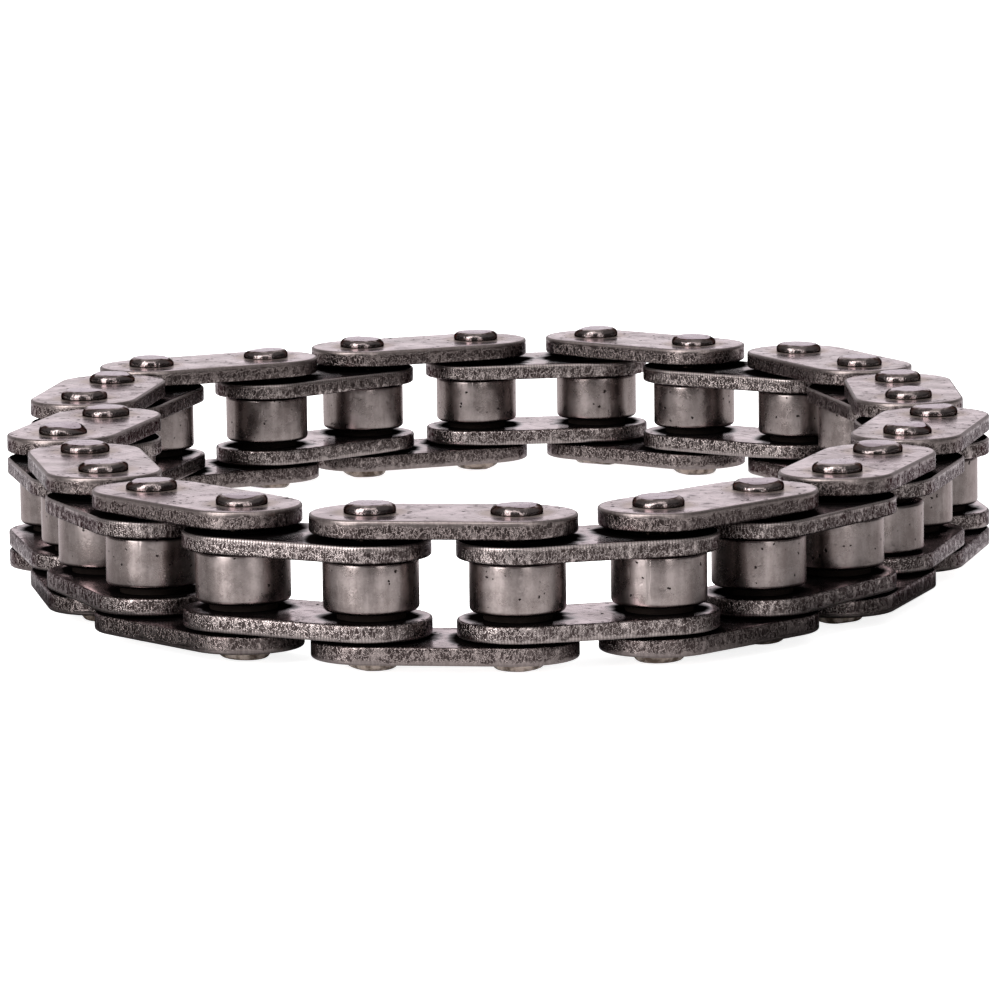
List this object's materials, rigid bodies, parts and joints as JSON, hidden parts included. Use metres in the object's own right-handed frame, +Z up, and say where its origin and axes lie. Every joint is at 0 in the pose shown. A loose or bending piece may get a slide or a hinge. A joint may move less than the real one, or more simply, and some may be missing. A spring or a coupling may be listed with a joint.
{
  "type": "moped chain",
  "caption": "Closed loop of riveted roller chain with straight-sided plates, pins, bushes and free rollers, which carries drive from one moped sprocket to another.",
  "frame": {"origin": "centre of the loop's box, at the flat lower ends of the pins", "axes": "+Z up along the pins as the chain lies on its side, +Y away from the viewer of the picture, +X to the right"},
  "size_m": [0.0696, 0.1002, 0.0109],
  "materials": {
    "outer_plate": "dark oiled carbon steel, tumbled faces and blanked edges",
    "inner_plate": "dark oiled carbon steel, tumbled faces and blanked edges",
    "pin": "hardened steel with peened, oil-browned ends",
    "bush": "plain oiled steel",
    "roller": "satin grey steel with fine wear"
  },
  "bodies": {
    "outer_link_01": {"outer_link_01_lower_plate": "outer_plate", "outer_link_01_upper_plate": "outer_plate", "outer_link_01_left_pin": "pin", "outer_link_01_right_pin": "pin"},
    "inner_link_02": {"inner_link_02_lower_plate": "inner_plate", "inner_link_02_upper_plate": "inner_plate", "inner_link_02_left_bush": "bush", "inner_link_02_right_bush": "bush"},
    "outer_link_03": {"outer_link_03": "outer_plate"},
    "inner_link_04": {"inner_link_04": "inner_plate"},
    "outer_link_05": {"outer_link_05": "outer_plate"},
    "inner_link_06": {"inner_link_06": "inner_plate"},
    "outer_link_07": {"outer_link_07": "outer_plate"},
    "inner_link_08": {"inner_link_08": "inner_plate"},
    "outer_link_09": {"outer_link_09": "outer_plate"},
    "inner_link_10": {"inner_link_10": "inner_plate"},
    "outer_link_11": {"outer_link_11": "outer_plate"},
    "inner_link_12": {"inner_link_12": "inner_plate"},
    "outer_link_13": {"outer_link_13": "outer_plate"},
    "inner_link_14": {"inner_link_14": "inner_plate"},
    "outer_link_15": {"outer_link_15": "outer_plate"},
    "inner_link_16": {"inner_link_16": "inner_plate"},
    "outer_link_17": {"outer_link_17": "outer_plate"},
    "inner_link_18": {"inner_link_18": "inner_plate"},
    "outer_link_19": {"outer_link_19": "outer_plate"},
    "inner_link_20": {"inner_link_20": "inner_plate"},
    "outer_link_21": {"outer_link_21": "outer_plate"},
    "inner_link_22": {"inner_link_22": "inner_plate"},
    "outer_link_23": {"outer_link_23": "outer_plate"},
    "inner_link_24": {"inner_link_24": "inner_plate"},
    "outer_link_25": {"outer_link_25": "outer_plate"},
    "inner_link_26": {"inner_link_26": "inner_plate"},
    "roller_01": {"roller_01": "roller"},
    "roller_02": {"roller_02": "roller"},
    "roller_03": {"roller_03": "roller"},
    "roller_04": {"roller_04": "roller"},
    "roller_05": {"roller_05": "roller"},
    "roller_06": {"roller_06": "roller"},
    "roller_07": {"roller_07": "roller"},
    "roller_08": {"roller_08": "roller"},
    "roller_09": {"roller_09": "roller"},
    "roller_10": {"roller_10": "roller"},
    "roller_11": {"roller_11": "roller"},
    "roller_12": {"roller_12": "roller"},
    "roller_13": {"roller_13": "roller"},
    "roller_14": {"roller_14": "roller"},
    "roller_15": {"roller_15": "roller"},
    "roller_16": {"roller_16": "roller"},
    "roller_17": {"roller_17": "roller"},
    "roller_18": {"roller_18": "roller"},
    "roller_19": {"roller_19": "roller"},
    "roller_20": {"roller_20": "roller"},
    "roller_21": {"roller_21": "roller"},
    "roller_22": {"roller_22": "roller"},
    "roller_23": {"roller_23": "roller"},
    "roller_24": {"roller_24": "roller"},
    "roller_25": {"roller_25": "roller"},
    "roller_26": {"roller_26": "roller"}
  },
  "joints": [
    {"name": "hinge_02", "type": "hinge", "parent": "outer_link_01", "child": "inner_link_02", "pos_m": [0.00098, -0.04617, 0.00543], "axis": [0, 0, 1], "range_deg": [-7.4, 14.9]},
    {"name": "hinge_03", "type": "hinge", "parent": "inner_link_02", "child": "outer_link_03", "pos_m": [0.01013, -0.04354, 0.00543], "axis": [0, 0, 1], "range_deg": [-3.4, 6.85]},
    {"name": "hinge_04", "type": "hinge", "parent": "outer_link_03", "child": "inner_link_04", "pos_m": [0.01687, -0.03681, 0.00543], "axis": [0, 0, 1], "range_deg": [-5.4, 10.88]},
    {"name": "hinge_05", "type": "hinge", "parent": "inner_link_04", "child": "outer_link_05", "pos_m": [0.02247, -0.0291, 0.00543], "axis": [0, 0, 1], "range_deg": [-9.37, 4.65]},
    {"name": "hinge_06", "type": "hinge", "parent": "outer_link_05", "child": "inner_link_06", "pos_m": [0.02573, -0.02015, 0.00543], "axis": [0, 0, 1], "range_deg": [-5.72, 2.84]},
    {"name": "hinge_07", "type": "hinge", "parent": "inner_link_06", "child": "outer_link_07", "pos_m": [0.02835, -0.011, 0.00543], "axis": [0, 0, 1], "range_deg": [-9.56, 4.75]},
    {"name": "hinge_08", "type": "hinge", "parent": "outer_link_07", "child": "inner_link_08", "pos_m": [0.03082, -0.0018, 0.00543], "axis": [0, 0, 1], "range_deg": [-19.18, 9.53]},
    {"name": "hinge_09", "type": "hinge", "parent": "inner_link_08", "child": "outer_link_09", "pos_m": [0.02966, 0.00766, 0.00543], "axis": [0, 0, 1], "range_deg": [-7.33, 3.64]},
    {"name": "hinge_10", "type": "hinge", "parent": "outer_link_09", "child": "inner_link_10", "pos_m": [0.02949, 0.01718, 0.00543], "axis": [0, 0, 1], "range_deg": [-8.04, 3.99]},
    {"name": "hinge_11", "type": "hinge", "parent": "inner_link_10", "child": "outer_link_11", "pos_m": [0.02719, 0.02642, 0.00543], "axis": [0, 0, 1], "range_deg": [-0.4688, 0.2329]},
    {"name": "hinge_12", "type": "hinge", "parent": "outer_link_11", "child": "inner_link_12", "pos_m": [0.02301, 0.03498, 0.00543], "axis": [0, 0, 1], "range_deg": [-0.74, 1.49]},
    {"name": "hinge_13", "type": "hinge", "parent": "inner_link_12", "child": "outer_link_13", "pos_m": [0.01511, 0.04031, 0.00543], "axis": [0, 0, 1], "range_deg": [-8.55, 17.22]},
    {"name": "hinge_01", "type": "hinge", "parent": "outer_link_01", "child": "inner_link_26", "pos_m": [-0.00848, -0.04501, 0.00543], "axis": [0, 0, 1], "range_deg": [-16.05, 7.97]},
    {"name": "hinge_26", "type": "hinge", "parent": "inner_link_26", "child": "outer_link_25", "pos_m": [-0.01689, -0.04054, 0.00543], "axis": [0, 0, 1], "range_deg": [-9.24, 4.59]},
    {"name": "hinge_25", "type": "hinge", "parent": "outer_link_25", "child": "inner_link_24", "pos_m": [-0.02313, -0.03335, 0.00543], "axis": [0, 0, 1], "range_deg": [-2.28, 1.13]},
    {"name": "hinge_24", "type": "hinge", "parent": "inner_link_24", "child": "outer_link_23", "pos_m": [-0.02686, -0.02458, 0.00543], "axis": [0, 0, 1], "range_deg": [-1.88, 3.78]},
    {"name": "hinge_23", "type": "hinge", "parent": "outer_link_23", "child": "inner_link_22", "pos_m": [-0.02867, -0.01523, 0.00543], "axis": [0, 0, 1], "range_deg": [-1.91, 3.84]},
    {"name": "hinge_22", "type": "hinge", "parent": "inner_link_22", "child": "outer_link_21", "pos_m": [-0.03082, -0.00595, 0.00543], "axis": [0, 0, 1], "range_deg": [-11.87, 23.9]},
    {"name": "hinge_21", "type": "hinge", "parent": "outer_link_21", "child": "inner_link_20", "pos_m": [-0.02835, 0.00325, 0.00543], "axis": [0, 0, 1], "range_deg": [-1.24, 0.62]},
    {"name": "hinge_20", "type": "hinge", "parent": "inner_link_20", "child": "outer_link_19", "pos_m": [-0.03049, 0.01253, 0.00543], "axis": [0, 0, 1], "range_deg": [-10.53, 21.21]},
    {"name": "hinge_19", "type": "hinge", "parent": "outer_link_19", "child": "inner_link_18", "pos_m": [-0.029, 0.02194, 0.00543], "axis": [0, 0, 1], "range_deg": [-2.73, 5.5]},
    {"name": "hinge_18", "type": "hinge", "parent": "inner_link_18", "child": "outer_link_17", "pos_m": [-0.02654, 0.03114, 0.00543], "axis": [0, 0, 1], "range_deg": [-0.6318, 0.3138]},
    {"name": "hinge_17", "type": "hinge", "parent": "outer_link_17", "child": "inner_link_16", "pos_m": [-0.01798, 0.03531, 0.00543], "axis": [0, 0, 1], "range_deg": [-8.57, 4.26]},
    {"name": "hinge_16", "type": "hinge", "parent": "inner_link_16", "child": "outer_link_15", "pos_m": [-0.01068, 0.04144, 0.00543], "axis": [0, 0, 1], "range_deg": [-9.11, 4.52]},
    {"name": "hinge_15", "type": "hinge", "parent": "outer_link_15", "child": "inner_link_14", "pos_m": [-0.00185, 0.04501, 0.00543], "axis": [0, 0, 1], "range_deg": [-13.61, 6.76]},
    {"name": "roller_01_spin", "type": "hinge", "parent": "inner_link_26", "child": "roller_01", "pos_m": [-0.00848, -0.04501, 0.00543], "axis": [0, 0, 1], "continuous": true},
    {"name": "roller_02_spin", "type": "hinge", "parent": "inner_link_02", "child": "roller_02", "pos_m": [0.00098, -0.04617, 0.00543], "axis": [0, 0, 1], "continuous": true},
    {"name": "roller_03_spin", "type": "hinge", "parent": "inner_link_02", "child": "roller_03", "pos_m": [0.01013, -0.04354, 0.00543], "axis": [0, 0, 1], "continuous": true},
    {"name": "roller_04_spin", "type": "hinge", "parent": "inner_link_04", "child": "roller_04", "pos_m": [0.01687, -0.03681, 0.00543], "axis": [0, 0, 1], "continuous": true},
    {"name": "roller_05_spin", "type": "hinge", "parent": "inner_link_04", "child": "roller_05", "pos_m": [0.02247, -0.0291, 0.00543], "axis": [0, 0, 1], "continuous": true},
    {"name": "roller_06_spin", "type": "hinge", "parent": "inner_link_06", "child": "roller_06", "pos_m": [0.02573, -0.02015, 0.00543], "axis": [0, 0, 1], "continuous": true},
    {"name": "roller_07_spin", "type": "hinge", "parent": "inner_link_06", "child": "roller_07", "pos_m": [0.02835, -0.011, 0.00543], "axis": [0, 0, 1], "continuous": true},
    {"name": "roller_08_spin", "type": "hinge", "parent": "inner_link_08", "child": "roller_08", "pos_m": [0.03082, -0.0018, 0.00543], "axis": [0, 0, 1], "continuous": true},
    {"name": "roller_09_spin", "type": "hinge", "parent": "inner_link_08", "child": "roller_09", "pos_m": [0.02966, 0.00766, 0.00543], "axis": [0, 0, 1], "continuous": true},
    {"name": "roller_10_spin", "type": "hinge", "parent": "inner_link_10", "child": "roller_10", "pos_m": [0.02949, 0.01718, 0.00543], "axis": [0, 0, 1], "continuous": true},
    {"name": "roller_11_spin", "type": "hinge", "parent": "inner_link_10", "child": "roller_11", "pos_m": [0.02719, 0.02642, 0.00543], "axis": [0, 0, 1], "continuous": true},
    {"name": "roller_12_spin", "type": "hinge", "parent": "inner_link_12", "child": "roller_12", "pos_m": [0.02301, 0.03498, 0.00543], "axis": [0, 0, 1], "continuous": true},
    {"name": "roller_13_spin", "type": "hinge", "parent": "inner_link_12", "child": "roller_13", "pos_m": [0.01511, 0.04031, 0.00543], "axis": [0, 0, 1], "continuous": true},
    {"name": "roller_14_spin", "type": "hinge", "parent": "inner_link_14", "child": "roller_14", "pos_m": [0.0076, 0.04617, 0.00543], "axis": [0, 0, 1], "continuous": true},
    {"name": "roller_15_spin", "type": "hinge", "parent": "inner_link_14", "child": "roller_15", "pos_m": [-0.00185, 0.04501, 0.00543], "axis": [0, 0, 1], "continuous": true},
    {"name": "roller_16_spin", "type": "hinge", "parent": "inner_link_16", "child": "roller_16", "pos_m": [-0.01068, 0.04144, 0.00543], "axis": [0, 0, 1], "continuous": true},
    {"name": "roller_17_spin", "type": "hinge", "parent": "inner_link_16", "child": "roller_17", "pos_m": [-0.01798, 0.03531, 0.00543], "axis": [0, 0, 1], "continuous": true},
    {"name": "roller_18_spin", "type": "hinge", "parent": "inner_link_18", "child": "roller_18", "pos_m": [-0.02654, 0.03114, 0.00543], "axis": [0, 0, 1], "continuous": true},
    {"name": "roller_19_spin", "type": "hinge", "parent": "inner_link_18", "child": "roller_19", "pos_m": [-0.029, 0.02194, 0.00543], "axis": [0, 0, 1], "continuous": true},
    {"name": "roller_20_spin", "type": "hinge", "parent": "inner_link_20", "child": "roller_20", "pos_m": [-0.03049, 0.01253, 0.00543], "axis": [0, 0, 1], "continuous": true},
    {"name": "roller_21_spin", "type": "hinge", "parent": "inner_link_20", "child": "roller_21", "pos_m": [-0.02835, 0.00325, 0.00543], "axis": [0, 0, 1], "continuous": true},
    {"name": "roller_22_spin", "type": "hinge", "parent": "inner_link_22", "child": "roller_22", "pos_m": [-0.03082, -0.00595, 0.00543], "axis": [0, 0, 1], "continuous": true},
    {"name": "roller_23_spin", "type": "hinge", "parent": "inner_link_22", "child": "roller_23", "pos_m": [-0.02867, -0.01523, 0.00543], "axis": [0, 0, 1], "continuous": true},
    {"name": "roller_24_spin", "type": "hinge", "parent": "inner_link_24", "child": "roller_24", "pos_m": [-0.02686, -0.02458, 0.00543], "axis": [0, 0, 1], "continuous": true},
    {"name": "roller_25_spin", "type": "hinge", "parent": "inner_link_24", "child": "roller_25", "pos_m": [-0.02313, -0.03335, 0.00543], "axis": [0, 0, 1], "continuous": true},
    {"name": "roller_26_spin", "type": "hinge", "parent": "inner_link_26", "child": "roller_26", "pos_m": [-0.01689, -0.04054, 0.00543], "axis": [0, 0, 1], "continuous": true}
  ],
  "couplings": [
    {"joint": "hinge_03", "follows": "hinge_02", "ratio": 0.45942},
    {"joint": "hinge_04", "follows": "hinge_02", "ratio": 0.73021},
    {"joint": "hinge_05", "follows": "hinge_02", "ratio": -0.629},
    {"joint": "hinge_06", "follows": "hinge_02", "ratio": -0.38402},
    {"joint": "hinge_07", "follows": "hinge_02", "ratio": -0.6418},
    {"joint": "hinge_08", "follows": "hinge_02", "ratio": -1.2873},
    {"joint": "hinge_09", "follows": "hinge_02", "ratio": -0.49208},
    {"joint": "hinge_10", "follows": "hinge_02", "ratio": -0.53931},
    {"joint": "hinge_11", "follows": "hinge_02", "ratio": -0.03146},
    {"joint": "hinge_12", "follows": "hinge_02", "ratio": 0.10017},
    {"joint": "hinge_13", "follows": "hinge_02", "ratio": 1.156},
    {"joint": "hinge_01", "follows": "hinge_02", "ratio": -1.0772},
    {"joint": "hinge_26", "follows": "hinge_02", "ratio": -0.62035},
    {"joint": "hinge_25", "follows": "hinge_02", "ratio": -0.15295},
    {"joint": "hinge_24", "follows": "hinge_02", "ratio": 0.25374},
    {"joint": "hinge_23", "follows": "hinge_02", "ratio": 0.25743},
    {"joint": "hinge_22", "follows": "hinge_02", "ratio": 1.6039},
    {"joint": "hinge_21", "follows": "hinge_02", "ratio": -0.083371},
    {"joint": "hinge_20", "follows": "hinge_02", "ratio": 1.4233},
    {"joint": "hinge_19", "follows": "hinge_02", "ratio": 0.36885},
    {"joint": "hinge_18", "follows": "hinge_02", "ratio": -0.042399},
    {"joint": "hinge_17", "follows": "hinge_02", "ratio": -0.57511},
    {"joint": "hinge_16", "follows": "hinge_02", "ratio": -0.61115},
    {"joint": "hinge_15", "follows": "hinge_02", "ratio": -0.91358}
  ]
}
